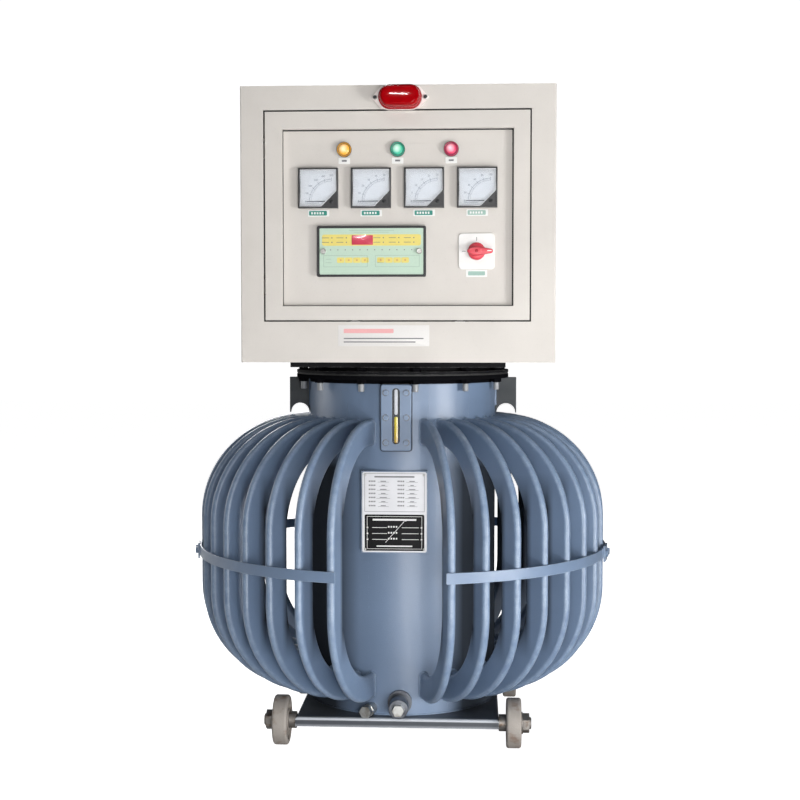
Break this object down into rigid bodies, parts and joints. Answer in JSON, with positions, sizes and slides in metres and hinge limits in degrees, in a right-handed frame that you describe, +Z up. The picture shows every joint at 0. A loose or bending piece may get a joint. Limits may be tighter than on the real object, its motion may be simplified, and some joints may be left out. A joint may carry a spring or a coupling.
{
  "type": "induction voltage regulator",
  "caption": "Floor-standing oil-cooled voltage regulator: a round tank inside a cage of bent cooling tubes, on a wheeled chassis, under a sheet-steel control cabinet with a hinged meter door.",
  "frame": {"origin": "on the floor, under the tank's axis", "axes": "+Z up; the door, oil gauge and nameplate face -Y; +X is to the viewer's right when facing the door"},
  "size_m": [0.8786, 0.8539, 1.328],
  "materials": {
    "cabinet_paint": "satin textured paint",
    "tank_paint": "satin blue-grey paint",
    "chassis_paint": "dark grey paint",
    "plinth_paint": "black paint",
    "cast_wheel": "rough cast",
    "zinc_steel": "zinc plated",
    "bare_steel": "machined",
    "gasket": "matt",
    "glass": "clear",
    "red_lens": "clear red",
    "pale_plastic": "satin",
    "black_plastic": "satin",
    "red_plastic": "gloss",
    "lamp_plastic": "translucent",
    "plate_metal": "printed",
    "dial": "printed white",
    "fascia": "printed",
    "laminations": "varnished",
    "copper": "enamelled wire"
  },
  "bodies": {
    "regulator": {"chassis": "chassis_paint", "stub_axles": "bare_steel", "axle_nuts": "zinc_steel", "tank_shell": "tank_paint", "cooling_tubes": "tank_paint", "tube_band": "tank_paint", "band_clamps": "chassis_paint", "lifting_lugs": "tank_paint", "oil_gauge_frame": "tank_paint", "oil_gauge_glass": "glass", "gauge_bolts": "tank_paint", "nameplate_bracket": "tank_paint", "nameplate": "plate_metal", "earth_terminal": "zinc_steel", "drain_valve": "zinc_steel", "drain_plug": "zinc_steel", "cover_gasket": "gasket", "tank_cover": "plinth_paint", "cover_bolts": "zinc_steel", "cabinet_plinth": "plinth_paint", "cabinet_shell": "cabinet_paint", "back_cover": "cabinet_paint", "case_screws": "zinc_steel", "hinge_brackets": "cabinet_paint", "beacon_base": "pale_plastic", "beacon_lens": "red_lens", "stator_core": "laminations", "stator_windings": "copper", "shaft_bearings": "bare_steel", "motor_bracket": "cabinet_paint", "gearmotor": "black_plastic", "mounting_plate": "cabinet_paint", "contactors": "black_plastic"},
    "door": {"door_frame": "cabinet_paint", "hinge_arms": "cabinet_paint", "instrument_panel": "cabinet_paint", "lamp_bezels": "black_plastic", "lamp_lenses": "lamp_plastic", "meter_bezels": "black_plastic", "meter_windows": "glass", "meter_dials": "dial", "meter_cases": "black_plastic", "controller_case": "black_plastic", "controller_fascia": "fascia", "controller_screws": "zinc_steel", "switch_housing": "pale_plastic", "panel_labels": "pale_plastic"},
    "switch": {"switch_knob": "red_plastic"},
    "rotor": {"rotor_core": "laminations", "rotor_shaft": "bare_steel", "main_gear": "bare_steel"},
    "pinion": {"drive_pinion": "bare_steel"},
    "wheel_front_left": {"wheel_front_left": "cast_wheel"},
    "wheel_front_right": {"wheel_front_right": "cast_wheel"},
    "wheel_rear_left": {"wheel_rear_left": "cast_wheel"},
    "wheel_rear_right": {"wheel_rear_right": "cast_wheel"},
    "needle_1": {"meter_needle_1": "black_plastic"},
    "needle_2": {"meter_needle_2": "black_plastic"},
    "needle_3": {"meter_needle_3": "black_plastic"},
    "needle_4": {"meter_needle_4": "black_plastic"}
  },
  "joints": [
    {"name": "door_hinge", "type": "hinge", "parent": "regulator", "child": "door", "pos_m": [-0.282, -0.192, 1.067], "axis": [0, 0, -1], "range_deg": [0, 105]},
    {"name": "switch_turn", "type": "hinge", "parent": "door", "child": "switch", "pos_m": [0.158, -0.19, 0.999], "axis": [0, -1, 0], "range_deg": [0, 180]},
    {"name": "rotor_turn", "type": "hinge", "parent": "regulator", "child": "rotor", "pos_m": [0, 0, 0.4], "axis": [0, 0, 1], "range_deg": [-45, 45]},
    {"name": "pinion_turn", "type": "hinge", "parent": "regulator", "child": "pinion", "pos_m": [0, 0.1125, 0.8], "axis": [0, 0, 1], "range_deg": [-180, 180]},
    {"name": "needle_1_swing", "type": "hinge", "parent": "door", "child": "needle_1", "pos_m": [-0.133, -0.191, 1.0995], "axis": [0, 1, 0], "range_deg": [0, 90], "stiffness_Nm_per_rad": 0.0005},
    {"name": "needle_2_swing", "type": "hinge", "parent": "door", "child": "needle_2", "pos_m": [-0.027, -0.191, 1.0995], "axis": [0, 1, 0], "range_deg": [0, 90], "stiffness_Nm_per_rad": 0.0005},
    {"name": "needle_3_swing", "type": "hinge", "parent": "door", "child": "needle_3", "pos_m": [0.079, -0.191, 1.0995], "axis": [0, 1, 0], "range_deg": [0, 90], "stiffness_Nm_per_rad": 0.0005},
    {"name": "needle_4_swing", "type": "hinge", "parent": "door", "child": "needle_4", "pos_m": [0.185, -0.191, 1.0995], "axis": [0, 1, 0], "range_deg": [0, 90], "stiffness_Nm_per_rad": 0.0005},
    {"name": "wheel_front_left_spin", "type": "hinge", "parent": "regulator", "child": "wheel_front_left", "pos_m": [-0.235, -0.2, 0.05], "axis": [1, 0, 0], "continuous": true},
    {"name": "wheel_front_right_spin", "type": "hinge", "parent": "regulator", "child": "wheel_front_right", "pos_m": [0.235, -0.2, 0.05], "axis": [1, 0, 0], "continuous": true},
    {"name": "wheel_rear_left_spin", "type": "hinge", "parent": "regulator", "child": "wheel_rear_left", "pos_m": [-0.235, 0.2, 0.05], "axis": [1, 0, 0], "continuous": true},
    {"name": "wheel_rear_right_spin", "type": "hinge", "parent": "regulator", "child": "wheel_rear_right", "pos_m": [0.235, 0.2, 0.05], "axis": [1, 0, 0], "continuous": true}
  ],
  "couplings": [
    {"joint": "pinion_turn", "follows": "rotor_turn", "ratio": -4}
  ]
}
